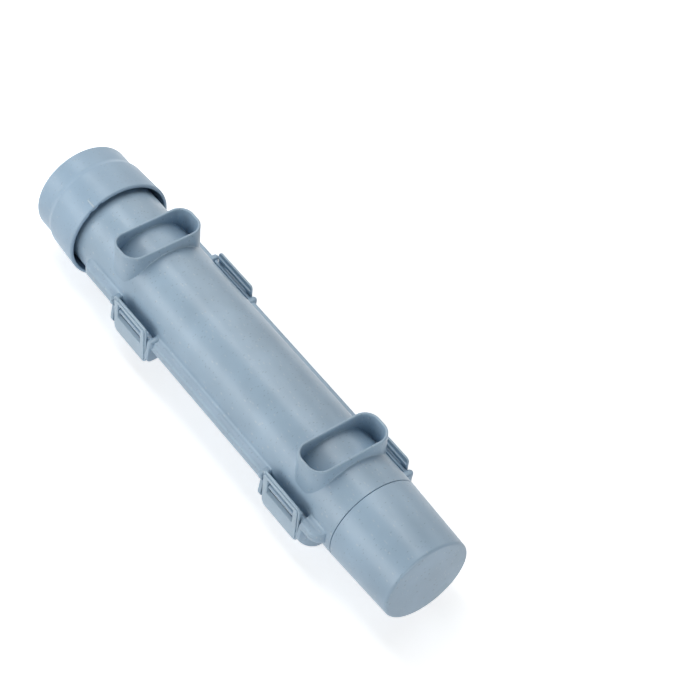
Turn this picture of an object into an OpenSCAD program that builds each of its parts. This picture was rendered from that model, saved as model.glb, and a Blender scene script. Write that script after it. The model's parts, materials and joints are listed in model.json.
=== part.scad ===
// Sushi rice mold press: two half shells that close into a barrel, four rocker
// clips that lock them, a push-fit nose cap and a plunger whose skirted handle
// slips over the barrel's rear end. Millimetres, +X along the barrel towards
// the nose cap, +Z up. The press stands on the hoops of its lower shell.

/* [Barrel] */
// Outer radius of the closed barrel
barrel_r = 26; // [24:0.5:28]
// Wall of the half shells
shell_wall = 2; // [1.6:0.1:2.4]
// Length of the half shells, rear end to nose seam
shell_len = 258.4; // [240:0.2:280]

/* [Flange] */
// How far the flange along each joint stands out from the barrel
flange_out = 4.4; // [3.8:0.1:4.6]
// Height of each shell's flange, from the parting plane
flange_h = 3.6; // [3:0.1:4.2]
// Radius along the flange's outer long edge
flange_edge_r = 2; // [0.6:0.1:2.4]
// Radius of the flange's rear ends, seen from above
flange_end_r = 4; // [1:0.5:4]
// Radius of the flange's front ends, seen from above
lobe_r = 6.5; // [4:0.5:6.5]
// Bare barrel between its rear end and the flange
flange_rear = 45.5; // [42:0.5:50]
// Bare barrel between the flange and the nose seam
flange_front = 3.8; // [2.6:0.1:4]
// How far the flange's front ends stand out past the rest of it
lobe_out = 1.3; // [0.6:0.1:1.6]
// Length of the far flange's front end, ahead of the clip's gap
far_lobe_len = 4.6; // [4:0.1:7]
// How far the knobs beside the clips stand out past the flange
knob_out = 1.7; // [1:0.1:2]
// How far the knobs rise over the flange
knob_rise = 0.8; // [0.4:0.1:1.2]
// Length of a knob along the flange
knob_len = 3.6; // [3:0.1:5]

/* [Stands] */
// Rise of a stand's rim over the top of the barrel
stand_rise = 4.6; // [4.6:0.1:7]
// Inside length of a stand, across the barrel
stand_len = 44.2; // [36:0.2:46]
// Inside width of a stand, along the barrel
stand_w = 18; // [15:0.5:20]
// Inside corner radius of a stand
stand_corner_r = 6.8; // [4:0.2:7.4]
// Wall of a stand
stand_wall = 1.4; // [1.2:0.1:2]
// Centre of the front stand, back from the nose seam
stand_front = 28.3; // [24:0.1:32]
// Centre of the rear stand, from the shells' rear end
stand_rear = 69.6; // [60:0.2:76]

/* [Clips] */
// Width of a clip
clip_w = 29.5; // [27:0.5:31]
// Height of a clip's plate
clip_h = 26; // [25.4:0.1:27]
// How far the plate reaches below the hinge axis
clip_tail = 6.8; // [6:0.1:7.2]
// Thickness of a clip's back plate
clip_plate = 1.3; // [1:0.1:1.4]
// Height of the raised panel on a clip's face
clip_panel = 0.5; // [0.3:0.1:0.8]
// Border of the back plate round the raised panel
clip_border = 1.2; // [0.8:0.1:1.6]
// Width of the catch window
window_w = 21; // [18:0.5:22]
// Height of the catch window in the clip's face
window_h = 10.1; // [9.4:0.1:10.6]
// Band of clip over the catch window
window_top = 3.3; // [3:0.1:3.8]
// Drop of the hook edge behind the band over the window
hook_drop = 3.2; // [2.4:0.1:3.4]
// Slope cut into the window's sill
sill_slope = 1; // [0.6:0.1:1.5]
// Depth of the lip behind a clip's upper edge
lip_out = 1; // [0.4:0.1:1.4]
// Thickness of the lip
lip_h = 1.1; // [0.8:0.1:1.6]
// Drop of the lip below the clip's upper edge
lip_drop = 2.5; // [0.4:0.1:3]
// Radius of a clip's top corners
clip_top_r = 2.2; // [1.5:0.1:3]
// Radius of a clip's lower corners
clip_low_r = 4; // [2.5:0.1:4.5]
// Outer radius of a clip's knuckle
knuckle_r = 2.3; // [1.9:0.1:2.4]
// How deep the knuckle is buried in the clip's plate
knuckle_bury = 1.45; // [1.3:0.05:1.6]
// Radius of the pin at each end of a knuckle
pin_r = 1.2; // [0.9:0.1:1.4]
// Length of each pin in its ear
pin_len = 1.8; // [1.4:0.1:2]
// Radial clearance of a pin in its ear
pin_gap = 0.06; // [0.03:0.01:0.1]
// Hinge axis, out from the barrel's surface
pivot_out = 3.6; // [3.4:0.1:4]
// Hinge axis, below the parting plane
pivot_drop = 9.3; // [9:0.1:9.6]
// Outer radius of an ear
ear_r = 2.8; // [2.6:0.1:3.3]
// Thickness of an ear
ear_w = 2.4; // [2.2:0.1:2.8]
// Gap at each side of a clip, to the ears
clip_side_gap = 0.3; // [0.2:0.05:0.5]
// Gap at each side of a clip, to the flange
clip_end_gap = 1.2; // [1:0.1:1.8]
// Centre of the near front clip, back from the nose seam
clip_front = 32.6; // [29:0.1:34]
// Centre of the near rear clip, from the shells' rear end
clip_rear = 92.6; // [88:0.1:100]
// Offset of the far clips towards the nose
far_shift = 4.2; // [0:0.1:5]

/* [Catches] */
// Gap between a catch and each side of its window
catch_side_gap = 0.4; // [0.3:0.1:1.2]
// Thickness of a catch's tongue
catch_h = 1.5; // [1.2:0.1:2]
// Play between a catch and the hook edge of its clip
catch_play = 0.8; // [0.6:0.1:1.1]
// How far a catch's face lies behind the clip's face
catch_sink = 0.4; // [0.2:0.1:0.8]
// Gap between a catch's bar and the back of the clip
bar_gap = 0.35; // [0.25:0.05:0.5]
// Thickness of the bar that carries a catch across the gap in the flange
bar_t = 1.8; // [1.4:0.1:2.2]
// Gap between the lower shell's rib and the back of the clip
rib_gap = 0.65; // [0.5:0.05:1]

/* [Nose cap] */
// Length of the cap ahead of the seam
cap_len = 42.1; // [36:0.1:48]
// Outer radius lost from the seam to the end face
cap_taper = 1.45; // [0.5:0.05:2]
// Radius round the end face
cap_edge_r = 1.5; // [0.8:0.1:2]
// Thickness of the end face
cap_floor = 2.2; // [1.6:0.1:3]
// Length of the spigot inside the barrel
spigot_len = 12; // [8:0.5:16]
// Wall of the spigot
spigot_wall = 1.8; // [1.4:0.1:2.4]
// Gap at the seam between the cap and the shells
seam_gap = 0.3; // [0.2:0.05:0.5]

/* [Handle] */
// Length of the handle, closed end to rim
handle_len = 37.8; // [34:0.2:44]
// Length of the narrower rear part
grip_len = 14.2; // [11:0.1:16]
// Wall of the handle
handle_wall = 1.9; // [1.6:0.1:2.4]
// Thickness of the handle's closed end
handle_floor = 2.4; // [1.8:0.1:3.2]
// Radius round the closed end
handle_edge_r = 1.6; // [0.8:0.1:2.2]
// Gap between the barrel and the skirt at its root
skirt_root_gap = 1.5; // [1:0.1:2]
// Gap between the barrel and the skirt at its rim
skirt_rim_gap = 2.6; // [2.2:0.1:2.6]
// Axial run of the step from grip to skirt
step_run = 3.2; // [1:0.1:4]
// Space between the barrel's rear end and the handle's closed end
end_play = 1.6; // [1:0.1:2.5]
// Angle of the index line, from +Y towards +Z, in degrees
index_angle = 120.7; // [90:0.1:150]
// Length of the index line
index_len = 6.5; // [4:0.5:10]
// Height of the index line over the skirt
index_rise = 0.4; // [0.2:0.1:0.6]
// Angle between the index line and each rim notch, in degrees
notch_angle = 6.3; // [4:0.1:9]
// Width of a rim notch
notch_w = 2.4; // [1.5:0.1:3]
// Axial depth of a rim notch
notch_len = 1.6; // [1:0.1:3]

/* [Plunger] */
// Outer radius of the hollow rod
rod_r = 10; // [8:0.5:12]
// Wall of the rod
rod_wall = 1.8; // [1.4:0.1:2.4]
// Radial clearance of the rod in its sockets
socket_gap = 0.05; // [0.03:0.01:0.1]
// Wall of the sockets that hold the rod
socket_wall = 2; // [1.5:0.1:2.5]
// Depth of the handle's socket
handle_socket = 10; // [6:0.5:12]
// Thickness of the piston's face
piston_face = 3; // [2:0.1:4]
// Length of the piston's rim behind its face
piston_rim = 5; // [3:0.5:8]
// Wall of the piston's rim
piston_wall = 1.6; // [1.2:0.1:2.2]
// Depth of the piston's socket
piston_socket = 6; // [4:0.5:9]
// Space between the piston and the cap's spigot
piston_space = 2; // [1:0.5:4]

/* [Fits] */
// Radial clearance of the sliding fits in and on the barrel
slide_gap = 0.1; // [0.05:0.01:0.1]

/* [Hidden] */
$fn = 96;
eps = 0.01;
plastic = [0.62, 0.70, 0.78];
inner_plastic = [0.56, 0.64, 0.72];

bore_r = barrel_r - shell_wall;
axis_z = barrel_r + stand_rise;
overall_len = handle_floor + end_play + shell_len + seam_gap + cap_len;
x_back = -overall_len / 2;
x_shell0 = x_back + handle_floor + end_play;
x_shell1 = x_shell0 + shell_len;
x_cap = x_shell1 + seam_gap;
x_piston = x_cap - spigot_len - piston_space;

flange_r = barrel_r + flange_out;
x_flange0 = x_shell0 + flange_rear;
x_flange1 = x_shell1 - flange_front;

x_stands = [x_shell0 + stand_rear, x_shell1 - stand_front];
x_clips = [x_shell0 + clip_rear, x_shell1 - clip_front];
x_far_clips = [for (x = x_clips) x + far_shift];
pocket_w = clip_w + 2 * clip_end_gap;
x_far_end = min(x_flange1, x_far_clips[1] + pocket_w / 2 + far_lobe_len);
pivot_y = barrel_r + pivot_out;
ear_x = clip_w / 2 + clip_side_gap;

// A clip's own frame: y out of its face, z up its plate, origin on its hinge.
plate_in = knuckle_r - knuckle_bury;
face_y = plate_in + clip_plate + clip_panel;
plate_top = clip_h - clip_tail;
window_z1 = plate_top - window_top;
window_z0 = window_z1 - window_h;
hook_z = window_z1 - hook_drop;

// Catch: a bar behind the clip with a tongue that stands in the clip's window.
catch_y = pivot_y + face_y - catch_sink;
catch_z1 = hook_z - catch_play - pivot_drop;
catch_z0 = catch_z1 - catch_h;
catch_w = window_w - 2 * catch_side_gap;
bar_y = pivot_y + plate_in - bar_gap;
bar_z0 = 0.3;
bar_z1 = flange_h - 0.2;

grip_r = barrel_r + slide_gap + handle_wall;
skirt_r = barrel_r + skirt_rim_gap + handle_wall;

// Rectangle [x0, x1] by [y0, y1] whose corners at y1 have radius r1 and whose
// corners at y0 have radius r0.
module round_panel(x0, x1, y0, y1, r0, r1) {
    translate([x0, y0 + r0]) square([x1 - x0, y1 - y0 - r0 - r1]);
    translate([x0 + r1, y1 - r1 - eps]) square([x1 - x0 - 2 * r1, r1 + eps]);
    translate([x0 + r0, y0]) square([x1 - x0 - 2 * r0, r0 + eps]);
    for (x = [x0 + r1, x1 - r1]) translate([x, y1 - r1]) circle(r1);
    if (r0 > 0) for (x = [x0 + r0, x1 - r0]) translate([x, y0 + r0]) circle(r0);
}

// A cylinder or a turned profile along the barrel's axis.
module on_axis(x = 0) {
    translate([x, 0, axis_z]) rotate([0, 90, 0]) children();
}

// Section of a flange of height h: square at the parting plane, rounded outside.
module flange_section(h, reach) {
    edge = min(flange_edge_r, h - eps);
    translate([bore_r + shell_wall / 2, 0]) square([reach - edge - bore_r - shell_wall / 2, h]);
    translate([reach - edge - eps, 0]) square([edge + eps, h - edge]);
    translate([reach - edge, h - edge]) circle(edge);
}

// A stretch of flange on the +Y side, above the parting plane, from x0 to x1.
module flange_run(x0, x1, h, r0, r1, reach) {
    intersection() {
        translate([x0, 0, 0]) rotate([90, 0, 90]) linear_extrude(x1 - x0) flange_section(h, reach);
        linear_extrude(h + 1) {
            translate([x0, 0]) square([x1 - x0, reach - max(r0, r1)]);
            translate([x0 + r0, 0]) square([x1 - x0 - r0 - r1, reach + 1]);
            translate([x0 + r0, reach - r0]) circle(r0);
            translate([x1 - r1, reach - r1]) circle(r1);
        }
    }
}

// A rounded knob on the +Y flange, with its middle at x.
module knob(x) {
    root_y = bore_r + shell_wall / 2;
    knob_y = flange_r + knob_out;
    edge = 1.2;
    knob_h = flange_h + knob_rise;
    for (layer = [[0, knob_h - edge, 0], [knob_h - edge - eps, edge + eps, edge / 2]])
        translate([0, 0, layer[0]]) linear_extrude(layer[1])
            round_panel(x - knob_len / 2 + layer[2], x + knob_len / 2 - layer[2],
                        root_y, knob_y - layer[2], 0, knob_len / 2.5 - layer[2]);
}

// The flange of one side, left open where its two clips sit. It ends in a lobe at x_end.
module flange_side(clips, x_end) {
    corner = 0.8;
    flange_run(x_flange0, clips[0] - pocket_w / 2, flange_h, flange_end_r, corner, flange_r);
    flange_run(clips[0] + pocket_w / 2, clips[1] - pocket_w / 2, flange_h, corner, corner, flange_r);
    x_lobe = clips[1] + pocket_w / 2;
    end_r = min(lobe_r, x_end - x_lobe - corner - 0.2);
    flange_run(x_lobe, x_end, flange_h, corner, end_r, flange_r + lobe_out);
}

// Both flanges above the parting plane, on a shell whose axis is at z = 0.
module flanges() {
    flange_side(x_far_clips, x_far_end);
    mirror([0, 1, 0]) flange_side(x_clips, x_flange1);
}

// An oval stand with upright walls, its rim at stand height, open to the barrel.
module stand(x) {
    outer_l = stand_len + 2 * stand_wall;
    outer_w = stand_w + 2 * stand_wall;
    root = sqrt(pow(barrel_r, 2) - pow(stand_len / 2 + stand_wall, 2)) - 2 * shell_wall;
    translate([x, 0, root]) linear_extrude(axis_z - root) difference() {
        round_panel(-outer_w / 2, outer_w / 2, -outer_l / 2, outer_l / 2,
                    stand_corner_r + stand_wall, stand_corner_r + stand_wall);
        round_panel(-stand_w / 2, stand_w / 2, -stand_len / 2, stand_len / 2,
                    stand_corner_r, stand_corner_r);
    }
}

// Half of the barrel above the parting plane, with stands and flanges, axis at z = 0.
module half_shell() {
    difference() {
        union() {
            translate([x_shell0, 0, 0]) rotate([0, 90, 0]) cylinder(h = shell_len, r = barrel_r);
            for (x = x_stands) stand(x);
            flanges();
        }
        translate([x_shell0 - 1, 0, 0]) rotate([0, 90, 0]) cylinder(h = shell_len + 2, r = bore_r);
        translate([x_shell0 - 1, -flange_r - 10, -2 * barrel_r])
            cube([shell_len + 2, 2 * flange_r + 20, 2 * barrel_r]);
    }
}

// A catch on the +Y side, centred on x: a bar across the gap in the flange, with
// a tongue that reaches into the clip's window.
module catch(x) {
    nose_slope = 0.7;
    bar_len = pocket_w + 2;
    translate([x - bar_len / 2, 0, 0]) rotate([90, 0, 90]) linear_extrude(bar_len)
        translate([bar_y - bar_t, bar_z0]) square([bar_t, bar_z1 - bar_z0]);
    translate([x - catch_w / 2, 0, 0]) rotate([90, 0, 90]) linear_extrude(catch_w)
        polygon([
            [bar_y - bar_t, catch_z0],
            [catch_y, catch_z0],
            [catch_y, catch_z1 - nose_slope],
            [catch_y - nose_slope, catch_z1],
            [bar_y - bar_t, catch_z1]]);
}

// Both catches of one side, and the knobs at the flange's edge beside the clips.
module catch_side(clips) {
    away = (pocket_w + knob_len) / 2 - 0.2;
    for (x = clips) {
        catch(x);
        knob(x - away);
    }
    knob(clips[0] + away);
}

// The far side's last knob stands on its short front end.
module far_front_knob() {
    knob(x_far_clips[1] + (pocket_w + knob_len) / 2 - 0.2);
}

// An ear on the +Y side whose low-x face is at x, with a blind hole for the pin
// that opens towards the clip: side is 1 above the clip's middle and -1 below it.
module ear(x, side) {
    hole_len = pin_len + 0.2;
    root_y = bore_r + shell_wall / 2;
    lean = 1.2;
    difference() {
        translate([x, 0, 0]) rotate([90, 0, 90]) linear_extrude(ear_w) {
            translate([pivot_y, -pivot_drop]) circle(ear_r);
            translate([root_y - ear_r, -pivot_drop - ear_r])
                square([pivot_y - root_y + ear_r, 2 * ear_r]);
            polygon([
                [root_y, -pivot_drop], [pivot_y + ear_r, -pivot_drop],
                [pivot_y + ear_r - lean, 0], [root_y, 0]]);
        }
        translate([side > 0 ? x - 1 : x + ear_w - hole_len, pivot_y, -pivot_drop])
            rotate([0, 90, 0]) cylinder(h = hole_len + 1, r = pin_r + pin_gap);
    }
}

// Ears of both clips, the rib behind each clip, and the gusset from the front ear
// to the flange's end.
module ear_side(clips, x_end) {
    root_y = bore_r + shell_wall / 2;
    rib_y = pivot_y + plate_in - rib_gap;
    for (x = clips) {
        ear(x - ear_x - ear_w, -1);
        ear(x + ear_x, 1);
        translate([x - pocket_w / 2 - 1, root_y, -flange_h]) cube([pocket_w + 2, rib_y - root_y, flange_h]);
    }
    gusset_x = clips[1] + ear_x + ear_w - eps;
    gusset_x1 = x_end - 0.6;
    gusset_z = -pivot_drop - ear_r + 2.2;
    end_r = min(flange_end_r, (gusset_x1 - gusset_x) / 2);
    intersection() {
        mirror([0, 0, 1]) flange_run(gusset_x, gusset_x1, -gusset_z, eps, end_r, flange_r - 1);
        translate([0, flange_r + 1, 0]) rotate([90, 0, 0]) linear_extrude(flange_r) polygon([
            [gusset_x - 1, 1],
            [gusset_x - 1, gusset_z],
            [gusset_x + 1, gusset_z + 0.6],
            [gusset_x1, -flange_h + 0.4],
            [gusset_x1, 1]]);
    }
}

// Upper half of the barrel, with the catches.
module upper_shell() {
    color(plastic) translate([0, 0, axis_z]) {
        half_shell();
        catch_side(x_far_clips);
        far_front_knob();
        mirror([0, 1, 0]) catch_side(x_clips);
    }
}

// Lower half of the barrel, with the hinge ears; its stands are the feet.
module lower_shell() {
    color(plastic) translate([0, 0, axis_z]) difference() {
        union() {
            mirror([0, 0, 1]) half_shell();
            ear_side(x_far_clips, x_far_end);
            mirror([0, 1, 0]) ear_side(x_clips, x_flange1);
        }
        translate([x_shell0 - 1, 0, 0]) rotate([0, 90, 0]) cylinder(h = shell_len + 2, r = bore_r);
    }
}

// A rocker clip in its own frame: back plate with a lip behind its upper edge,
// raised panel, window, knuckle and pins.
module clip_shape() {
    panel_y = plate_in + clip_plate;
    corner_drop = max(0, clip_top_r - lip_drop);
    lip_side = clip_top_r - sqrt(pow(clip_top_r, 2) - pow(corner_drop, 2)) + 0.2;
    difference() {
        union() {
            translate([0, panel_y, 0]) rotate([90, 0, 0]) linear_extrude(clip_plate)
                round_panel(-clip_w / 2, clip_w / 2, -clip_tail, plate_top, clip_low_r, clip_top_r);
            translate([0, face_y, 0]) rotate([90, 0, 0]) linear_extrude(clip_panel + eps)
                round_panel(-clip_w / 2 + clip_border, clip_w / 2 - clip_border,
                            -clip_tail + clip_border, plate_top - clip_border,
                            clip_low_r - clip_border, clip_top_r - clip_border + 0.4);
            translate([-clip_w / 2, 0, 0]) rotate([0, 90, 0]) cylinder(h = clip_w, r = knuckle_r);
            translate([-clip_w / 2 + lip_side, plate_in - lip_out, plate_top - lip_drop - lip_h])
                cube([clip_w - 2 * lip_side, lip_out + eps, lip_h]);
        }
        translate([-window_w / 2, 0, 0]) rotate([90, 0, 90]) linear_extrude(window_w)
            polygon([
                [plate_in - 1, window_z0 + sill_slope],
                [plate_in + clip_panel, window_z0 + sill_slope],
                [face_y, window_z0],
                [face_y + 1, window_z0],
                [face_y + 1, window_z1],
                [face_y, window_z1],
                [plate_in, hook_z],
                [plate_in - 1, hook_z]]);
    }
    for (s = [-1, 1]) translate([s > 0 ? clip_w / 2 - eps : -clip_w / 2 - clip_side_gap - pin_len + eps, 0, 0])
        rotate([0, 90, 0]) cylinder(h = clip_side_gap + pin_len, r = pin_r);
}

// A clip in its closed place on the +Y side.
module clip_on_side(x) {
    translate([x, pivot_y, axis_z - pivot_drop]) clip_shape();
}

module clip_near_rear() {
    color(plastic) mirror([0, 1, 0]) clip_on_side(x_clips[0]);
}

module clip_near_front() {
    color(plastic) mirror([0, 1, 0]) clip_on_side(x_clips[1]);
}

module clip_far_rear() {
    color(plastic) clip_on_side(x_far_clips[0]);
}

module clip_far_front() {
    color(plastic) clip_on_side(x_far_clips[1]);
}

// Push-fit cap that carries on the barrel's line, hollow behind its end face.
module nose_cap() {
    front_r = barrel_r - cap_taper;
    cavity_r = bore_r - slide_gap - spigot_wall;
    lead = 0.6;
    color(plastic) on_axis(x_cap) difference() {
        rotate_extrude() {
            polygon([
                [0, 0], [barrel_r, 0], [front_r, cap_len - cap_edge_r],
                [front_r - cap_edge_r, cap_len], [0, cap_len]]);
            translate([front_r - cap_edge_r, cap_len - cap_edge_r]) circle(cap_edge_r);
            polygon([
                [0, eps], [0, -spigot_len], [bore_r - slide_gap - lead, -spigot_len],
                [bore_r - slide_gap, -spigot_len + lead], [bore_r - slide_gap, eps]]);
        }
        translate([0, 0, -spigot_len - 1]) cylinder(h = spigot_len + 1 + cap_len - cap_floor, r = cavity_r);
    }
}

// Stepped cup: its grip is a sliding fit on the barrel, its skirt stands clear.
module plunger_handle() {
    root_r = barrel_r + skirt_root_gap + handle_wall;
    fit_r = barrel_r + slide_gap;
    step_z = grip_len - step_run;
    color(plastic) on_axis(x_back) difference() {
        union() {
            rotate_extrude() {
                polygon([
                    [0, 0], [grip_r - handle_edge_r, 0], [grip_r, handle_edge_r],
                    [grip_r, grip_len - step_run / 2], [root_r, grip_len + step_run / 2],
                    [skirt_r, handle_len], [0, handle_len]]);
                translate([grip_r - handle_edge_r, handle_edge_r]) circle(handle_edge_r);
            }
            index_line();
        }
        rotate_extrude() polygon([
            [0, handle_floor], [fit_r, handle_floor], [fit_r, step_z],
            [root_r - handle_wall, grip_len + step_run], [skirt_r - handle_wall, handle_len],
            [skirt_r - handle_wall, handle_len + 1], [0, handle_len + 1]]);
        for (s = [-1, 1]) rim_notch(index_angle + s * notch_angle);
    }
    color(plastic) on_axis(x_back + handle_floor - eps) difference() {
        cylinder(h = handle_socket, r = rod_r + socket_gap + socket_wall);
        translate([0, 0, eps]) cylinder(h = handle_socket + 1, r = rod_r + socket_gap);
    }
}

// Places a child at an angle round the handle, its x pointing out from the axis.
// On the turned part, the -x direction is up and the y direction is across.
module at_handle_angle(angle) {
    rotate([0, 0, 90 + angle]) children();
}

// Short raised line on the skirt, ending just short of the rim.
module index_line() {
    line_w = 0.8;
    buried = 1.2;
    at_handle_angle(index_angle)
        translate([skirt_r + index_rise - buried - 0.3, -line_w / 2, handle_len - index_len])
            cube([buried, line_w, index_len - 0.3]);
}

// Small notch in the inner edge of the skirt's rim.
module rim_notch(angle) {
    depth = 0.9;
    at_handle_angle(angle)
        translate([skirt_r - handle_wall - 1, -notch_w / 2, handle_len - notch_len])
            cube([1 + depth, notch_w, notch_len + 1]);
}

// Hollow rod between the handle's closed end and the piston's face.
module plunger_rod() {
    x0 = x_back + handle_floor;
    x1 = x_piston - piston_face;
    color(inner_plastic) on_axis(x0) difference() {
        cylinder(h = x1 - x0, r = rod_r);
        translate([0, 0, -1]) cylinder(h = x1 - x0 + 2, r = rod_r - rod_wall);
    }
}

// Cup-shaped piston that slides in the closed barrel, with a socket for the rod.
module piston_head() {
    piston_r = bore_r - slide_gap;
    color(inner_plastic) on_axis(x_piston) difference() {
        union() {
            translate([0, 0, -piston_face]) cylinder(h = piston_face, r = piston_r);
            translate([0, 0, -piston_face - piston_rim]) difference() {
                cylinder(h = piston_rim + eps, r = piston_r);
                translate([0, 0, -1]) cylinder(h = piston_rim + 2, r = piston_r - piston_wall);
            }
            translate([0, 0, -piston_face - piston_socket])
                cylinder(h = piston_socket + eps, r = rod_r + socket_gap + socket_wall);
        }
        translate([0, 0, -piston_face - piston_socket - 1])
            cylinder(h = piston_socket + 1, r = rod_r + socket_gap);
    }
}

lower_shell();
upper_shell();
clip_near_rear();
clip_near_front();
clip_far_rear();
clip_far_front();
nose_cap();
plunger_handle();
plunger_rod();
piston_head();
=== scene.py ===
"""Looks of the rice mold press: each moulding is a smooth-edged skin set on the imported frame."""

import json

import bmesh
import bpy
import numpy as np
from mathutils import Matrix, Vector


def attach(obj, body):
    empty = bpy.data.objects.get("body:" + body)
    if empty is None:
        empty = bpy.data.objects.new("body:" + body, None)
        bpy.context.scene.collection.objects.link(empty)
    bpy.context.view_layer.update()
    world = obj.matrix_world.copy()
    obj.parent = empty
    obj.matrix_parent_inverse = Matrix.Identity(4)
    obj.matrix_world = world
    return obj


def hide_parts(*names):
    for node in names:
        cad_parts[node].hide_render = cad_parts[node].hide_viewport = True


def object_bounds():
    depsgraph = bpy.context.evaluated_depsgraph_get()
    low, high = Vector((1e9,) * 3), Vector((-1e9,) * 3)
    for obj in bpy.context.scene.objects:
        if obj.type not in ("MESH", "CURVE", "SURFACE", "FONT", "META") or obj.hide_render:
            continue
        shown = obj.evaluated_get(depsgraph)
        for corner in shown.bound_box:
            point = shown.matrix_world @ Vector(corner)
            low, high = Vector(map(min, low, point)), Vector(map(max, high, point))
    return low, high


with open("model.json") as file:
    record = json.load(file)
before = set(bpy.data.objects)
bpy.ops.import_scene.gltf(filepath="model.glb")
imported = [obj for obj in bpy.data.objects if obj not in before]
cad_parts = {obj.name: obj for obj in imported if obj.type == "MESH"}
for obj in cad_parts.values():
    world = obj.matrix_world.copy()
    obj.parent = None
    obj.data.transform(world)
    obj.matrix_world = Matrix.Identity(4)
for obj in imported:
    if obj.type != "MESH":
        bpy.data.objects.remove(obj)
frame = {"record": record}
cad_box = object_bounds()

# All lengths below are millimetres until a mesh is made. +X runs to the nose cap.


def in_mm(point):
    """A point of the frame, given in metres."""
    return [round(1000 * v, 3) for v in point]


def clip_hinge(name):
    """Where the frame has a clip's hinge."""
    joints = frame["record"]["behaviour"]["joints"]
    return next(in_mm(j["pos_m"]) for j in joints if j["name"] == name + "_clip_hinge")


(X_BACK, _, _), (X_NOSE, _, TOP_Z) = (in_mm(corner) for corner in cad_box)
AXIS_Z = TOP_Z / 2
BARREL_R, BORE_R = 26.0, 24.0
X_REAR, X_SEAM, X_CAP = X_BACK + 4.0, X_NOSE - 42.4, X_NOSE - 42.1
FLANGE_R, FLANGE_H = 30.4, 3.6
LOBE_OUT = 1.3
X_FLANGE = X_REAR + 45.5, X_SEAM - 3.8
CLIP_HALF_W = 14.75
POCKET = 2 * CLIP_HALF_W + 2.4
NEAR_CLIPS, FAR_CLIPS = (
    [clip_hinge(side + end)[0] for end in ("_rear", "_front")] for side in ("near", "far"))
X_FAR_END = FAR_CLIPS[1] + POCKET / 2 + 4.6
PIVOT_Y = clip_hinge("far_rear")[1]
PIVOT_DROP = AXIS_Z - clip_hinge("far_rear")[2]
STANDS = (X_REAR + 69.6, X_SEAM - 28.3)
EAR_X, EAR_W = CLIP_HALF_W + 0.3, 2.4
BEHIND_CLIP = POCKET / 2 + 1
KNOB_HALF_LEN = 1.8
KNOB_AWAY = POCKET / 2 + KNOB_HALF_LEN - 0.2


# ---------------------------------------------------------------- outlines and shells


def arc(steps):
    """Angles of a quarter turn, from 0 to 90 degrees."""
    return np.linspace(0.0, np.pi / 2, steps + 1)


def rounded(corners, steps=5):
    """Closed outline through (a, b, radius) corners: each corner becomes the circular arc
    that touches both of its sides, and a corner of radius 0 stays a point."""
    runs = []
    for before, (a, b, r), after in zip(corners[-1:] + corners[:-1], corners, corners[1:] + corners[:1]):
        here = np.array([a, b], float)
        if r <= 0:
            runs.append(here[None])
            continue
        u = np.array(before[:2], float) - here
        w = np.array(after[:2], float) - here
        u, w = u / np.linalg.norm(u), w / np.linalg.norm(w)
        half = np.arccos(np.clip(u @ w, -1, 1)) / 2
        centre = here + (u + w) / np.linalg.norm(u + w) * r / np.sin(half)
        first, last = here + u * r / np.tan(half) - centre, here + w * r / np.tan(half) - centre
        turn = np.pi - 2 * half
        t = np.linspace(0, 1, steps + 1)[:, None]
        runs.append(centre + (np.sin((1 - t) * turn) * first + np.sin(t * turn) * last) / np.sin(turn))
    return np.vstack(runs)


def inset(outline, amount):
    """A closed outline moved inwards by amount, along the normal of its neighbours' chord."""
    chord = np.roll(outline, -1, 0) - np.roll(outline, 1, 0)
    normal = np.stack([-chord[:, 1], chord[:, 0]], 1) / np.linalg.norm(chord, axis=1)[:, None]
    nxt = np.roll(outline, -1, 0)
    turns_left = np.sum(outline[:, 0] * nxt[:, 1] - outline[:, 1] * nxt[:, 0]) > 0
    return outline + normal * (amount if turns_left else -amount)


def shell(points, closed_u=False, closed_v=True):
    """A closed surface from a grid of points (rows, columns, 3): quads join neighbours, and
    flat ends close the first and last row. Its faces are turned so that its volume is positive."""
    rows, cols = points.shape[:2]
    index = np.arange(rows * cols).reshape(rows, cols)
    if closed_u:
        index = np.vstack([index, index[:1]])
    if closed_v:
        index = np.hstack([index, index[:, :1]])
    quads = np.stack([index[:-1, :-1], index[:-1, 1:], index[1:, 1:], index[1:, :-1]], -1).reshape(-1, 4)
    first, last = list(range(cols)), list(range((rows - 1) * cols, rows * cols))
    ends = [] if closed_u else [first[::-1], last]
    flat = points.reshape(-1, 3)
    fans = [np.stack([np.full(len(e) - 2, e[0]), e[1:-1], e[2:]], 1) for e in ends]
    tris = np.vstack([quads[:, [0, 1, 2]], quads[:, [0, 2, 3]]] + fans)
    a, b, c = (flat[tris[:, k]] - flat.mean(0) for k in range(3))
    if np.einsum("ij,ij->", a, np.cross(b, c)) < 0:
        quads, ends = quads[:, ::-1], [e[::-1] for e in ends]
    return flat, quads.tolist() + ends


def turned(profile, steps=160, shape=None):
    """A profile of (x, radius) carried round the barrel's axis. shape may change the radii
    by angle: it gets the grid of angles, x and radii and returns new radii."""
    angle = np.linspace(0, 2 * np.pi, steps, endpoint=False)[:, None]
    x, r = np.broadcast_to(profile[:, 0], (steps, len(profile))), profile[:, 1] + 0 * angle
    if shape:
        r = shape(angle, x, r)
    closed = profile[0, 1] > 0
    return shell(np.stack([x, r * np.cos(angle), AXIS_Z + r * np.sin(angle)], -1), True, closed)


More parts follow.
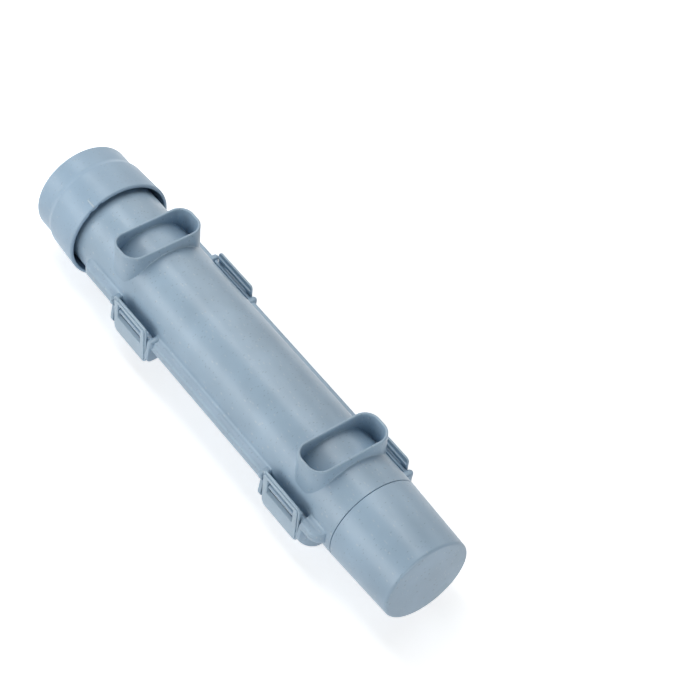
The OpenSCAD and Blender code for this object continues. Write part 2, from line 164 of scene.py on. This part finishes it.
def prism(outline, low, high, edge, place, steps=3):
    """An outline in (a, b) carried along c from low to high, its two rims rounded by edge:
    near each end the outline is inset by edge * (1 - sin) while c moves by edge * (1 - cos)."""
    t = arc(steps)
    insets = np.concatenate([edge * (1 - np.sin(t)), (edge * (1 - np.sin(t)))[::-1]])
    along = np.concatenate([low + edge * (1 - np.cos(t)), (high - edge * (1 - np.cos(t)))[::-1]])
    rings = [np.column_stack([inset(outline, d), np.full(len(outline), c)]) for d, c in zip(insets, along)]
    a, b, c = np.moveaxis(np.array(rings), -1, 0)
    return shell(np.stack(place(a, b, c), -1))


def piece(name, shells, node, material):
    """One object from several closed shells, in metres, standing for a CAD node and riding on its body."""
    verts, faces, start = [], [], 0
    for points, polys in shells:
        verts.append(points * 0.001)
        faces += [[i + start for i in f] for f in polys]
        start += len(points)
    mesh = bpy.data.meshes.new(name)
    mesh.from_pydata(np.vstack(verts).tolist(), [], faces)
    bm = bmesh.new()
    bm.from_mesh(mesh)
    bmesh.ops.remove_doubles(bm, verts=bm.verts, dist=1e-8)
    bm.to_mesh(mesh)
    bm.free()
    mesh.polygons.foreach_set("use_smooth", np.ones(len(mesh.polygons), bool))
    mesh.set_sharp_from_angle(angle=np.radians(SHARP_ANGLE))
    mesh.materials.append(material)
    obj = bpy.data.objects.new(name, mesh)
    bpy.context.scene.collection.objects.link(obj)
    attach(obj, BODY_OF[node])
    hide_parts(node)


SHARP_ANGLE = 35
BODY_OF = {n: b for b, nodes in frame["record"]["behaviour"]["bodies"].items() for n in nodes}


# ---------------------------------------------------------------- finishes


def moulded_grain():
    """Node group of the flecked plastic: cloudy tone, pale and dark fibre flecks, and a
    fine grain. Colour, roughness and grain height leave it."""
    group = bpy.data.node_groups.new("moulded_grain", "ShaderNodeTree")
    face = group.interface
    for name, kind, value in (("Plastic", "NodeSocketColor", (0.4, 0.5, 0.6, 1)),
                              ("Pale fleck", "NodeSocketColor", (0.6, 0.65, 0.68, 1)),
                              ("Dark fleck", "NodeSocketColor", (0.2, 0.28, 0.35, 1)),
                              ("Fleck strength", "NodeSocketFloat", 0.35),
                              ("Cloudiness", "NodeSocketFloat", 0.1),
                              ("Roughness", "NodeSocketFloat", 0.4)):
        face.new_socket(name, in_out="INPUT", socket_type=kind).default_value = value
    face.new_socket("Colour", in_out="OUTPUT", socket_type="NodeSocketColor")
    face.new_socket("Roughness", in_out="OUTPUT", socket_type="NodeSocketFloat")
    face.new_socket("Grain", in_out="OUTPUT", socket_type="NodeSocketFloat")
    add, link = group.nodes.new, group.links.new
    given, out = add("NodeGroupInput"), add("NodeGroupOutput")
    where = add("ShaderNodeTexCoord").outputs["Object"]

    def noise(scale, detail):
        node = add("ShaderNodeTexNoise")
        node.inputs["Scale"].default_value = scale
        node.inputs["Detail"].default_value = detail
        link(where, node.inputs["Vector"])
        return node.outputs["Fac"]

    def maths(kind, a, b):
        node = add("ShaderNodeMath")
        node.operation = kind
        for socket, value in zip(node.inputs, (a, b)):
            if isinstance(value, (int, float)):
                socket.default_value = value
            else:
                link(value, socket)
        return node.outputs[0]

    def ramp(value, low, high):
        node = add("ShaderNodeMapRange")
        node.inputs["From Min"].default_value = low
        node.inputs["From Max"].default_value = high
        link(value, node.inputs["Value"])
        return node.outputs["Result"]

    def mix(share, a, b):
        node = add("ShaderNodeMix")
        node.data_type = "RGBA"
        for socket, value in ((node.inputs["Factor"], share), (node.inputs["A"], a), (node.inputs["B"], b)):
            socket = socket if socket.enabled else next(
                s for s in node.inputs if s.name == socket.name and s.enabled)
            if isinstance(value, (int, float, tuple)):
                socket.default_value = value
            else:
                link(value, socket)
        return next(s for s in node.outputs if s.enabled)

    def flecks(scale, stretch, size, share):
        """Short fibres: stretched cells, kept where the cell's random value is low, near its middle."""
        turn = add("ShaderNodeMapping")
        turn.inputs["Scale"].default_value = stretch
        turn.inputs["Rotation"].default_value = (0.4, 0.7, 1.1)
        link(where, turn.inputs["Vector"])
        cells = add("ShaderNodeTexVoronoi")
        cells.inputs["Scale"].default_value = scale
        link(turn.outputs[0], cells.inputs["Vector"])
        random = add("ShaderNodeSeparateColor")
        link(cells.outputs["Color"], random.inputs[0])
        near = ramp(cells.outputs["Distance"], size, size * 0.45)
        return maths("MULTIPLY", near, maths("LESS_THAN", random.outputs[0], share))

    cloud = ramp(noise(38, 3), 0.3, 0.7)
    shade = maths("ADD", 1.0, maths("MULTIPLY", maths("SUBTRACT", cloud, 0.5), given.outputs["Cloudiness"]))
    tone = add("ShaderNodeVectorMath")
    tone.operation = "SCALE"
    link(given.outputs["Plastic"], tone.inputs[0])
    link(shade, tone.inputs["Scale"])
    pale_flecks = flecks(scale=300, stretch=(1, 2.6, 1), size=0.3, share=0.35)
    dark_flecks = flecks(scale=420, stretch=(2.2, 1, 1), size=0.3, share=0.3)
    pale = maths("MULTIPLY", pale_flecks, given.outputs["Fleck strength"])
    dark = maths("MULTIPLY", dark_flecks, given.outputs["Fleck strength"])
    colour = mix(pale, tone.outputs[0], given.outputs["Pale fleck"])
    colour = mix(dark, colour, given.outputs["Dark fleck"])
    link(colour, out.inputs["Colour"])
    uneven = maths("MULTIPLY", maths("SUBTRACT", noise(210, 2), 0.5), 0.14)
    link(maths("ADD", given.outputs["Roughness"], uneven), out.inputs["Roughness"])
    link(maths("ADD", noise(2400, 2), maths("MULTIPLY", cloud, 0.6)), out.inputs["Grain"])
    return group


GRAIN = moulded_grain()


def plastic(name, colour, rough, flecks=0.5, cloud=0.16):
    """A satin plastic: the grain group sets its colour and roughness, and a faint bump its surface."""
    material = bpy.data.materials.new(name)
    material.use_nodes = True
    nodes, links = material.node_tree.nodes, material.node_tree.links
    shader = nodes["Principled BSDF"]
    group = nodes.new("ShaderNodeGroup")
    group.node_tree = GRAIN
    for key, value in (("Plastic", colour), ("Pale fleck", PALE), ("Dark fleck", DARK)):
        group.inputs[key].default_value = (*value, 1)
    group.inputs["Fleck strength"].default_value = flecks
    group.inputs["Cloudiness"].default_value = cloud
    group.inputs["Roughness"].default_value = rough
    bump = nodes.new("ShaderNodeBump")
    bump.inputs["Strength"].default_value = BUMP_STRENGTH
    bump.inputs["Distance"].default_value = BUMP_HEIGHT
    links.new(group.outputs["Colour"], shader.inputs["Base Color"])
    links.new(group.outputs["Roughness"], shader.inputs["Roughness"])
    links.new(group.outputs["Grain"], bump.inputs["Height"])
    links.new(bump.outputs["Normal"], shader.inputs["Normal"])
    material.diffuse_color = (*colour, 1)
    return material


PALE, DARK = (0.53, 0.60, 0.65), (0.18, 0.255, 0.33)
BUMP_STRENGTH, BUMP_HEIGHT = 0.12, 0.0001
shell_plastic = plastic("shell_plastic", (0.352, 0.482, 0.602), rough=0.33)
clip_plastic = plastic("clip_plastic", (0.405, 0.535, 0.645), rough=0.4, flecks=0.3)
cap_plastic = plastic("cap_plastic", (0.348, 0.480, 0.605), rough=0.34, flecks=0.45)
handle_plastic = plastic("handle_plastic", (0.348, 0.488, 0.625), rough=0.38, flecks=0.3, cloud=0.12)
# The index line's plastic is the handle's blue painted paler: a painted highlight along the raised line,
# which is part of the handle moulding.
index_painted_highlight_plastic = plastic("index_painted_highlight_plastic", (0.52, 0.62, 0.70), rough=0.4, flecks=0.1)
inner_plastic = plastic("inner_plastic", (0.30, 0.41, 0.52), rough=0.5, flecks=0.15)


# ---------------------------------------------------------------- half shells


def half_tube(side):
    """Half of the barrel: an (x, radius) section with rounded ends, carried round a half turn
    that stops just short of the parting plane."""
    section = rounded([(X_REAR, BORE_R, 0.5), (X_REAR, BARREL_R, 0.7),
                       (X_SEAM, BARREL_R, 0.3), (X_SEAM, BORE_R, 0.4)])
    short = 0.0016
    angle = np.linspace(short, np.pi - short, 120)[:, None]
    r = section[:, 1] + 0 * angle
    x = section[:, 0] + 0 * angle
    return shell(np.stack([x, r * np.cos(angle), AXIS_Z + side * r * np.sin(angle)], -1))


def stand(x_mid, side):
    """An oval stand: its wall's section is carried round a rounded rectangle, and its foot
    follows the barrel at height sqrt(R^2 - y^2) with a fillet that fades where the barrel is steep."""
    half_w, half_l, inner_r, wall = 9.0, 22.1, 6.8, 1.4
    rim_out, rim_in, foot_out, foot_in, sink, depth = 0.6, 0.5, 0.9, 0.6, 0.02, 0.9
    top = AXIS_Z
    cx, cy = half_w - inner_r, half_l - inner_r
    corners = [(cx, -cy, -90), (cx, cy, 0), (-cx, cy, 90), (-cx, -cy, 180)]
    centres, turns = [], []
    for (ax, ay, start), (bx, by, _) in zip(corners, corners[1:] + corners[:1]):
        swing = np.radians(start) + arc(12)
        along = np.linspace(0, 1, 30 if abs(by - ay) > 1 else 6)[1:-1, None]
        centres += [np.tile([ax, ay], (13, 1)), [ax, ay] + along * np.array([bx - ax, by - ay])]
        turns += [swing, np.full(len(along), swing[-1])]
    centres, turns = np.vstack(centres), np.concatenate(turns)
    normal = np.stack([np.cos(turns), np.sin(turns)], 1)
    wall_y = np.abs(centres[:, 1] + normal[:, 1] * (inner_r + wall))
    steep = np.sqrt(np.maximum(1 - (wall_y / BARREL_R) ** 2, 0.02)) ** 1.3
    rim = arc(4)
    fillet = arc(6)
    out_r, in_r = foot_out * steep, foot_in * steep
    columns = []
    for t in fillet[::-1]:
        columns.append((wall + out_r * (1 - np.cos(t)), None, out_r * (1 - np.sin(t)) - sink))
    for t in rim:
        columns.append((wall - rim_out * (1 - np.cos(t)) + 0 * steep, top - rim_out * (1 - np.sin(t)), 0))
    for t in rim[::-1]:
        columns.append((rim_in * (1 - np.cos(t)) + 0 * steep, top - rim_in * (1 - np.sin(t)), 0))
    for t in fillet:
        columns.append((-in_r * (1 - np.cos(t)), None, in_r * (1 - np.sin(t)) - sink))
    columns.append((-in_r, None, -depth + 0 * steep))
    columns.append((wall + out_r, None, -depth + 0 * steep))
    grid = []
    for offset, height, rise in columns:
        spot = centres + normal * (inner_r + offset)[:, None]
        surface = np.sqrt(np.maximum(BARREL_R ** 2 - spot[:, 1] ** 2, 1.0))
        level = surface + rise if height is None else np.full(len(spot), height)
        grid.append(np.column_stack([x_mid + spot[:, 0], spot[:, 1], AXIS_Z + side * level]))
    return shell(np.array(grid).transpose(1, 0, 2), closed_u=True)


def flange_run(x0, x1, r0, r1, y_side, z_side, reach=FLANGE_R):
    """A stretch of flange: a rounded bar that blends into the barrel, carried along x, whose
    reach shrinks at each end as a quarter circle of radius r0 or r1 seen from above."""
    root, seam, blend_top = 25.0, 0.03, FLANGE_H + 2.0
    section = rounded([(root, seam, 0), (FLANGE_R, seam, 0.3), (FLANGE_R, FLANGE_H, 2.0),
                       (root + 0.83, FLANGE_H, 2.5), (root + 0.38, blend_top, 0), (root, blend_top, 0)], 6)
    t = arc(12)
    x = np.concatenate([x0 + r0 * (1 - np.cos(t)), (x1 - r1 * (1 - np.cos(t)))[::-1]])
    loss = np.concatenate([r0 * (1 - np.sin(t)), (r1 * (1 - np.sin(t)))[::-1]])
    y = root + (section[:, 0] - root) * ((reach - root - loss) / (FLANGE_R - root))[:, None]
    z = section[:, 1] + 0 * y
    return shell(np.stack([x[:, None] + 0 * y, y_side * y, AXIS_Z + z_side * z], -1))


def flanges(z_side):
    """The flange of one half shell, both sides, left open where the clips sit, with a lobe at
    its front end."""
    runs = []
    rear_r, corner, near_lobe_r, far_lobe_r = 4.0, 0.8, 6.5, 3.6
    for y_side, clips, x_end, lobe_r in ((-1, NEAR_CLIPS, X_FLANGE[1], near_lobe_r),
                                         (1, FAR_CLIPS, X_FAR_END, far_lobe_r)):
        gaps = [(c - POCKET / 2, c + POCKET / 2) for c in clips]
        runs.append(flange_run(X_FLANGE[0], gaps[0][0], rear_r, corner, y_side, z_side))
        runs.append(flange_run(gaps[0][1], gaps[1][0], corner, corner, y_side, z_side))
        runs.append(flange_run(gaps[1][1], x_end, corner, lobe_r, y_side, z_side, FLANGE_R + LOBE_OUT))
    return runs


def across(y_side):
    """Places (y, z, x) prisms: outline in the barrel's cross-section, carried along x."""
    return lambda a, b, c: (c, y_side * a, AXIS_Z + b)


def catch(x, y_side):
    """The bar behind a clip and the tongue in its window."""
    bar_in, bar_out, bar_low, bar_high = 28.3, 30.1, 0.3, FLANGE_H - 0.2
    tip, slope, low, high, root = 31.85, 0.7, 1.1, 2.6, 28.6
    tongue_half = 10.1
    bar = rounded([(bar_in, bar_low, 0.2), (bar_out, bar_low, 0.3),
                   (bar_out, bar_high, 0.4), (bar_in, bar_high, 0.4)], 3)
    tongue = rounded([(root, low, 0), (tip, low, 0.25), (tip, high - slope, 0.3),
                      (tip - slope, high, 0.4), (root, high, 0)], 3)
    return [prism(bar, x - BEHIND_CLIP, x + BEHIND_CLIP, 0.2, across(y_side)),
            prism(tongue, x - tongue_half, x + tongue_half, 0.25, across(y_side))]


def knob(x, y_side):
    """A rounded pad on the upper flange, beside a clip."""
    x0, x1 = x - KNOB_HALF_LEN, x + KNOB_HALF_LEN
    root, tip, low, high = 25.2, FLANGE_R + 1.7, 0.05, FLANGE_H + 0.8
    plan = rounded([(x0, root, 0), (x1, root, 0), (x1, tip, 1.7), (x0, tip, 1.7)], 10)
    return prism(plan, low, high, 1.2, lambda a, b, c: (a, y_side * b, AXIS_Z + c), 6)


def ears(clips, x_end, y_side):
    """The two hinge ears and the rib behind each clip, and the web from the front ear to the
    flange's end, whose sections shrink towards the nose."""
    ear_r, lean = 2.8, 1.2
    out, low = PIVOT_Y + ear_r, -PIVOT_DROP - ear_r
    outline = rounded([(24.0, -0.05, 0), (out - lean, -0.05, 0.5), (out, -PIVOT_DROP, 1.0),
                       (out, low, 2.7), (22.4, low, 0)], 6)
    rib_in, rib_out, rib_top = 25.0, 29.8, -0.03
    rib = rounded([(rib_in, rib_top, 0), (rib_out, rib_top, 0.25),
                   (rib_out, -FLANGE_H, 0.4), (rib_in, -FLANGE_H, 0)], 3)
    parts = []
    for x in clips:
        parts.append(prism(rib, x - BEHIND_CLIP, x + BEHIND_CLIP, 0.1, across(y_side)))
        for x0 in (x - EAR_X - EAR_W, x + EAR_X):
            parts.append(prism(outline, x0, x0 + EAR_W, 0.35, across(y_side)))
    x0, x1 = clips[1] + EAR_X + EAR_W - 0.1, x_end - 0.6
    end_r = min(4.0, (x1 - x0) / 2)
    t = arc(8)
    x = np.concatenate([np.linspace(x0, x1 - end_r, 12)[:-1], (x1 - end_r * (1 - np.cos(t)))[::-1]])
    root, top = 23.6, -0.5
    reach = FLANGE_R - 1.05 - np.concatenate([np.zeros(11), (end_r * (1 - np.sin(t)))[::-1]])
    bottom = np.interp(x, [x0, x0 + 1, x1], [-9.85, -9.3, -3.3])
    web = [rounded([(root, top, 0), (y, top, 0.02), (y, z, min(2.0, (y - root) / 3)), (root, z, 0)], 6)
           for y, z in zip(reach, bottom)]
    y, z = np.moveaxis(np.array(web), -1, 0)
    parts.append(shell(np.stack([x[:, None] + 0 * y, y_side * y, AXIS_Z + z], -1)))
    return parts


upper = [half_tube(1)] + [stand(x, 1) for x in STANDS] + flanges(1)
lower = [half_tube(-1)] + [stand(x, -1) for x in STANDS] + flanges(-1)
for y_side, clips, x_end in ((-1, NEAR_CLIPS, X_FLANGE[1]), (1, FAR_CLIPS, X_FAR_END)):
    upper += [part for x in clips for part in catch(x, y_side)]
    upper += [knob(x, y_side) for x in (clips[0] - KNOB_AWAY, clips[0] + KNOB_AWAY, clips[1] - KNOB_AWAY)]
    lower += ears(clips, x_end, y_side)
upper.append(knob(FAR_CLIPS[1] + KNOB_AWAY, 1))
piece("upper_half_shell", upper, "upper_shell", shell_plastic)
piece("lower_half_shell", lower, "lower_shell", shell_plastic)


# ---------------------------------------------------------------- clips


def clip(x_mid, y_side):
    """A rocker clip: loops of the same count run from the window's back edge round the plate,
    over the raised panel and into the window again, a lip stands behind its upper edge, and a
    stepped pin lies along its hinge."""
    w, low, top, back, plate, face = CLIP_HALF_W, -6.8, 19.2, 0.85, 2.15, 2.65
    r_low, r_top, border, window = 4.0, 2.2, 1.2, 10.5

    def loop(dx, z0, z1, below, above, y, grow=0.0):
        corners = [(-dx, z0, below), (dx, z0, below), (dx, z1, above), (-dx, z1, above)]
        flat = inset(rounded(corners, 8), -grow)
        return np.column_stack([flat[:, 0], np.full(len(flat), y), flat[:, 1]])

    def plate_loop(y, grow):
        return loop(w, low, top, r_low, r_top, y, grow)

    def panel_loop(y, grow):
        return loop(w - border, low + border, top - border, r_low - border, 1.4, y, grow)

    def window_loop(y, shrink):
        return loop(window, 5.8, 15.9, 0.5, 0.5, y, -shrink)

    def rim(make, flat_y, edge, side, turns):
        """Loops round a rim of radius edge whose flat lies at flat_y, towards side."""
        return [make(flat_y - side * edge * (1 - np.cos(a)), -edge * (1 - np.sin(a))) for a in turns]

    t = arc(3)
    groove = (plate, 0.42), (plate - 0.3, 0.36), (plate - 0.3, 0.04), (plate, 0.0)
    rings = [loop(window, 6.8, 12.7, 0.3, 0.3, back)]
    rings += rim(plate_loop, back, 0.35, -1, t)
    rings += rim(plate_loop, plate, 0.35, 1, t[::-1])
    rings += [panel_loop(y, grow) for y, grow in groove]
    rings += rim(panel_loop, face, 0.25, 1, t[::-1])
    rings += rim(window_loop, face, 0.2, 1, t)
    rings += [loop(window, 6.75, 13.5, 0.4, 0.4, back + 0.45)]
    points = np.array(rings)
    pin_r, knuckle_r, pin_x = 1.2, 2.3, w + 2.1
    profile = rounded([(-pin_x, 0, 0), (-pin_x, pin_r, 0.3), (-w, pin_r, 0), (-w, knuckle_r, 0.3),
                       (w, knuckle_r, 0.3), (w, pin_r, 0), (pin_x, pin_r, 0.3), (pin_x, 0, 0)], 3)
    angle = np.linspace(0, 2 * np.pi, 40, endpoint=False)[:, None]
    r = profile[:, 1] + 0 * angle
    knuckle = np.stack([profile[:, 0] + 0 * angle, r * np.cos(angle), r * np.sin(angle)], -1)
    lip_in, lip_out, lip_low, lip_top = back + 0.1, back - 1.0, top - 3.6, top - 2.5
    lip = rounded([(lip_in, lip_low, 0), (lip_in, lip_top, 0),
                   (lip_out, lip_top, 0.25), (lip_out, lip_low, 0.25)], 4)

    def in_place(y, z, x):
        return x_mid + x, y_side * (PIVOT_Y + y), AXIS_Z - PIVOT_DROP + z

    made = [prism(lip, -w + 0.2, w - 0.2, 0.2, in_place)]
    for grid, closed in ((points, True), (knuckle, False)):
        x, y, z = np.moveaxis(grid, -1, 0)
        made.append(shell(np.stack(in_place(y, z, x), -1), closed_u=True, closed_v=closed))
    return made


for side, clips, y_side in (("near", NEAR_CLIPS, -1), ("far", FAR_CLIPS, 1)):
    for end, x_mid in zip(("rear", "front"), clips):
        node = f"clip_{side}_{end}"
        piece("rocker_" + node, clip(x_mid, y_side), node, clip_plastic)


# ---------------------------------------------------------------- nose cap

SLIDE_R = BORE_R - 0.1
X_SPIGOT = X_CAP - 12.0


def nose_cap():
    """The cap's wall, end face and spigot as one closed (x, radius) profile."""
    front_r, x_floor = BARREL_R - 1.45, X_NOSE - 2.2
    cavity_r = SLIDE_R - 1.8
    return turned(rounded([
        (X_NOSE, 0, 0), (X_NOSE, front_r, 1.5), (X_CAP, BARREL_R, 0.35), (X_CAP, SLIDE_R, 0.1),
        (X_SPIGOT, SLIDE_R, 0.6), (X_SPIGOT, cavity_r, 0.4), (x_floor, cavity_r, 1.2),
        (x_floor, 0, 0)], 7), 192)


piece("nose_cap_moulding", [nose_cap()], "nose_cap", cap_plastic)


# ---------------------------------------------------------------- plunger

INDEX_ANGLE, NOTCH_ANGLE = 120.7, 6.3
GRIP_R, ROOT_R, RIM_R, SKIRT_WALL = 28.0, 29.4, 30.5, 1.9
GRIP_FIT_R = BARREL_R + 0.1
X_STEP, X_RIM = X_BACK + 14.2, X_BACK + 37.8
X_FLOOR = X_BACK + 2.4
ROD_R, ROD_BORE_R, SOCKET_BORE_R, SOCKET_R = 10.0, 8.2, 10.05, 12.05
X_PISTON = X_SPIGOT - 2.0


def rim_notches(angle, x, r):
    """Widens the inner rim by up to 0.9 mm in two short arcs beside the index line."""
    depth, half_w, ramp, arc_r = 0.9, 1.35, 0.3, 29.0
    for s in (-1, 1):
        away = np.abs(angle - np.radians(INDEX_ANGLE + s * NOTCH_ANGLE)) * arc_r
        inside = np.clip((half_w - away) / ramp, 0, 1)
        inner = (r > 27.8) & (r < 29.5) & (x > X_RIM - 1.6)
        r = r + depth * inside * inner
    return r


def handle():
    """A stepped cup: narrow grip, ramp, flared skirt with a rolled rim, and the rod's socket."""
    step_run = 3.2
    body = rounded([
        (X_BACK, 0, 0), (X_BACK, GRIP_R, 1.6), (X_STEP - step_run / 2, GRIP_R, 7.0),
        (X_STEP + step_run / 2, ROOT_R, 5.0), (X_RIM, RIM_R, 1.2), (X_RIM, RIM_R - SKIRT_WALL, 0.4),
        (X_RIM - 1.7, RIM_R - SKIRT_WALL - 0.03, 0.0), (X_STEP + step_run, ROOT_R - SKIRT_WALL, 0.5),
        (X_STEP - step_run, GRIP_FIT_R, 0.5), (X_FLOOR, GRIP_FIT_R, 0.5), (X_FLOOR, 0, 0)], 6)
    x0, x1 = X_FLOOR - 0.2, X_FLOOR + 10.0
    socket = rounded([(x0, SOCKET_BORE_R, 0), (x0, SOCKET_R, 0),
                      (x1, SOCKET_R, 0.4), (x1, SOCKET_BORE_R, 0.3)])
    return [turned(body, 480, rim_notches), turned(socket, 96)]


def index_line():
    """The short raised line on the skirt, ending just short of the rim."""
    half_w, root, top = 0.4, 29.0, RIM_R + 0.1
    line = rounded([(-half_w, root, 0), (half_w, root, 0), (half_w, top, 0.15), (-half_w, top, 0.15)], 3)
    a = np.radians(INDEX_ANGLE)
    out, side = np.array([np.cos(a), np.sin(a)]), np.array([-np.sin(a), np.cos(a)])
    return prism(line, X_RIM - 6.5, X_RIM - 0.5, 0.2, lambda u, v, x: (
        x, v * out[0] + u * side[0], AXIS_Z + v * out[1] + u * side[1]))


def rod():
    """The hollow rod from the handle's closed end to the piston's face."""
    x1 = X_PISTON - 3.0
    return turned(rounded([
        (X_FLOOR, ROD_BORE_R, 0.2), (X_FLOOR, ROD_R, 0.3), (x1, ROD_R, 0.3), (x1, ROD_BORE_R, 0.2)]), 96)


def piston():
    """A cup on the rod's end: its rim reaches back, round the rod's socket."""
    x_face, x_rim, x_socket = X_PISTON - 3.0, X_PISTON - 8.0, X_PISTON - 9.0
    rim_in = SLIDE_R - 1.6
    return turned(rounded([
        (X_PISTON, 0, 0), (X_PISTON, SLIDE_R, 0.5), (x_rim, SLIDE_R, 0.5), (x_rim, rim_in, 0.4),
        (x_face, rim_in, 0.6), (x_face, SOCKET_R, 0.4), (x_socket, SOCKET_R, 0.4),
        (x_socket, SOCKET_BORE_R, 0.3), (x_face, SOCKET_BORE_R, 0), (x_face, 0, 0)]), 160)


piece("plunger_handle_moulding", handle(), "plunger_handle", handle_plastic)
# The raised index line wears the paler plastic, a painted highlight.
piece("plunger_index_line", [index_line()], "plunger_handle", index_painted_highlight_plastic)
piece("plunger_tube", [rod()], "plunger_rod", inner_plastic)
piece("piston_disc", [piston()], "piston_head", inner_plastic)


# ---------------------------------------------------------------- floor, light and camera


def directly_seen(nodes, links):
    """1 for camera and glossy rays, so that gloss shows the same white as the camera, else 0."""
    path = nodes.new("ShaderNodeLightPath")
    either = nodes.new("ShaderNodeMath")
    either.operation = "MAXIMUM"
    links.new(path.outputs["Is Camera Ray"], either.inputs[0])
    links.new(path.outputs["Is Glossy Ray"], either.inputs[1])
    return either.outputs[0]


def white_floor():
    """A pale floor that keeps the press's shadow, and reads as white where nothing shades it."""
    size, drop = 6.0, 0.0002
    mesh = bpy.data.meshes.new("floor")
    corners = ((-size, -size), (size, -size), (size, size), (-size, size))
    mesh.from_pydata([(x, y, -drop) for x, y in corners], [], [(0, 1, 2, 3)])
    floor = bpy.data.objects.new("floor", mesh)
    bpy.context.scene.collection.objects.link(floor)
    material = bpy.data.materials.new("floor_white")
    material.use_nodes = True
    nodes, links = material.node_tree.nodes, material.node_tree.links
    shader = nodes["Principled BSDF"]
    seen = nodes.new("ShaderNodeMix")
    seen.data_type = "RGBA"
    seen.inputs[6].default_value, seen.inputs[7].default_value = (0.50, 0.51, 0.53, 1), (0.86, 0.87, 0.88, 1)
    shader.inputs["Roughness"].default_value = 0.9
    shader.inputs["Emission Color"].default_value = (1, 1, 1, 1)
    direct = directly_seen(nodes, links)
    lift = nodes.new("ShaderNodeMath")
    lift.operation = "MULTIPLY"
    lift.inputs[1].default_value = 0.6
    links.new(direct, lift.inputs[0])
    links.new(direct, seen.inputs[0])
    links.new(seen.outputs[2], shader.inputs["Base Color"])
    links.new(lift.outputs[0], shader.inputs["Emission Strength"])
    mesh.materials.append(material)


def white_room(level):
    """Even light from all round, seen by the camera as plain white."""
    world = bpy.data.worlds.new("white_room")
    bpy.context.scene.world = world
    world.use_nodes = True
    nodes, links = world.node_tree.nodes, world.node_tree.links
    backdrop = nodes["Background"]
    backdrop.inputs["Color"].default_value = (1, 1, 1, 1)
    pick = nodes.new("ShaderNodeMix")
    pick.inputs[2].default_value, pick.inputs[3].default_value = level, 1.0
    links.new(directly_seen(nodes, links), pick.inputs[0])
    links.new(pick.outputs[0], backdrop.inputs["Strength"])


def softbox(name, where, target, width, height, power):
    """A rectangular lamp at where (metres) that faces target."""
    lamp = bpy.data.lights.new(name, "AREA")
    lamp.shape, lamp.size, lamp.size_y = "RECTANGLE", width, height
    lamp.energy = power
    obj = bpy.data.objects.new(name, lamp)
    bpy.context.scene.collection.objects.link(obj)
    obj.location = where
    obj.rotation_euler = (Vector(target) - Vector(where)).to_track_quat("-Z", "Y").to_euler()


def photo_camera():
    """The photo's own viewpoint: azimuth, elevation and roll round a point on the barrel's axis."""
    azimuth, elevation, roll = np.radians([47.636, 49.814, 7.44])
    distance, slide_right, slide_up = 1.0501, 0.03795, 0.02838
    level = np.array([np.sin(azimuth), -np.cos(azimuth), 0.0])
    back = np.cos(elevation) * level + np.array([0.0, 0.0, np.sin(elevation)])
    right = np.cross([0, 0, 1], back)
    right /= np.linalg.norm(right)
    up = np.cross(back, right)
    across_view = np.cos(roll) * right + np.sin(roll) * up
    up_view = -np.sin(roll) * right + np.cos(roll) * up
    target = np.array([0.0276, 0.0, 0.001 * AXIS_Z])
    spot = target + back * distance + across_view * slide_right + up_view * slide_up
    data = bpy.data.cameras.new("photo_camera")
    data.sensor_width, data.lens = 36.0, 107.99
    data.clip_start, data.clip_end = 0.05, 50
    camera = bpy.data.objects.new("photo_camera", data)
    bpy.context.scene.collection.objects.link(camera)
    turn = Matrix(np.column_stack([across_view, up_view, back]).tolist()).to_4x4()
    camera.matrix_world = Matrix.Translation(spot.tolist()) @ turn
    bpy.context.scene.camera = camera


MIDDLE = (0, 0, 0.03)

white_floor()
white_room(0.095)
softbox("overhead_strip", (-0.55, 0.0, 1.15), MIDDLE, 0.30, 1.3, 5.4)
softbox("overhead_far", (-0.55, 0.45, 1.10), MIDDLE, 0.30, 0.7, 2.1)
softbox("near_strip", (-0.50, -1.0, 0.42), MIDDLE, 1.3, 0.42, 5.8)
softbox("near_low", (0.1, -1.2, 0.14), MIDDLE, 1.4, 0.25, 2.6)
softbox("far_fill", (-0.4, 0.95, 0.70), MIDDLE, 1.4, 0.5, 2.7)
softbox("nose_fill", (1.2, -0.1, 0.40), (0.1, 0, 0.03), 0.8, 0.6, 2.1)
softbox("nose_low", (1.25, -0.1, 0.11), (0.15, 0, 0.03), 0.8, 0.2, 2.6)
photo_camera()
bpy.context.scene.view_settings.view_transform = "Standard"
